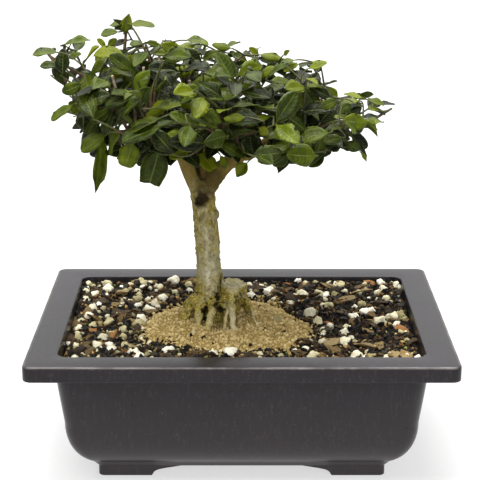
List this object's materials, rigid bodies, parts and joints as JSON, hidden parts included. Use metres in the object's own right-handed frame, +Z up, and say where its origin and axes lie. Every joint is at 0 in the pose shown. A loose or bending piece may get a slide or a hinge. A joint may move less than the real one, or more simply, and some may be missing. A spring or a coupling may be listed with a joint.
{
  "type": "potted bonsai tree",
  "caption": "Small leafy privet grown as a bonsai, with surface roots, in a low rectangular plastic pot of dark potting mix with a sandy mound.",
  "frame": {"origin": "on the ground, under the middle of the pot", "axes": "+Z up the tree, +X along the pot's long side, -Y towards the front"},
  "size_m": [0.216, 0.165, 0.2333],
  "materials": {
    "pot_plastic": "satin",
    "drain_netting": "matte",
    "potting_mix": "matte",
    "sandy_soil": "matte",
    "bark": "matte",
    "old_leaf": "satin",
    "new_leaf": "satin"
  },
  "bodies": {
    "root": {"pot": "pot_plastic", "drain_mesh_left": "drain_netting", "drain_mesh_right": "drain_netting", "potting_mix": "potting_mix", "sandy_mound": "sandy_soil", "tree": "bark", "spray_01": "old_leaf", "spray_02": "old_leaf", "spray_03": "new_leaf", "spray_04": "old_leaf", "spray_05": "old_leaf", "spray_06": "new_leaf", "spray_07": "old_leaf", "spray_08": "old_leaf", "spray_09": "new_leaf", "spray_10": "old_leaf", "spray_11": "old_leaf", "spray_12": "new_leaf", "spray_13": "old_leaf", "spray_14": "old_leaf", "spray_15": "new_leaf", "spray_16": "old_leaf", "spray_17": "old_leaf", "spray_18": "new_leaf", "spray_19": "old_leaf", "spray_20": "old_leaf", "spray_21": "new_leaf", "spray_22": "old_leaf", "spray_23": "old_leaf", "spray_24": "new_leaf", "spray_25": "old_leaf", "spray_26": "old_leaf", "spray_27": "new_leaf", "spray_28": "old_leaf", "spray_29": "old_leaf", "spray_30": "new_leaf", "spray_31": "old_leaf", "spray_32": "old_leaf", "spray_33": "new_leaf", "spray_34": "old_leaf", "spray_35": "old_leaf", "spray_36": "new_leaf", "spray_37": "old_leaf", "spray_38": "old_leaf", "spray_39": "new_leaf", "spray_40": "old_leaf", "spray_41": "old_leaf", "spray_42": "new_leaf", "spray_43": "old_leaf", "spray_44": "old_leaf", "spray_45": "new_leaf", "spray_46": "old_leaf", "spray_47": "old_leaf", "spray_48": "new_leaf", "spray_49": "old_leaf", "spray_50": "old_leaf", "spray_51": "new_leaf", "spray_52": "old_leaf", "spray_53": "old_leaf", "spray_54": "new_leaf"}
  },
  "joints": []
}
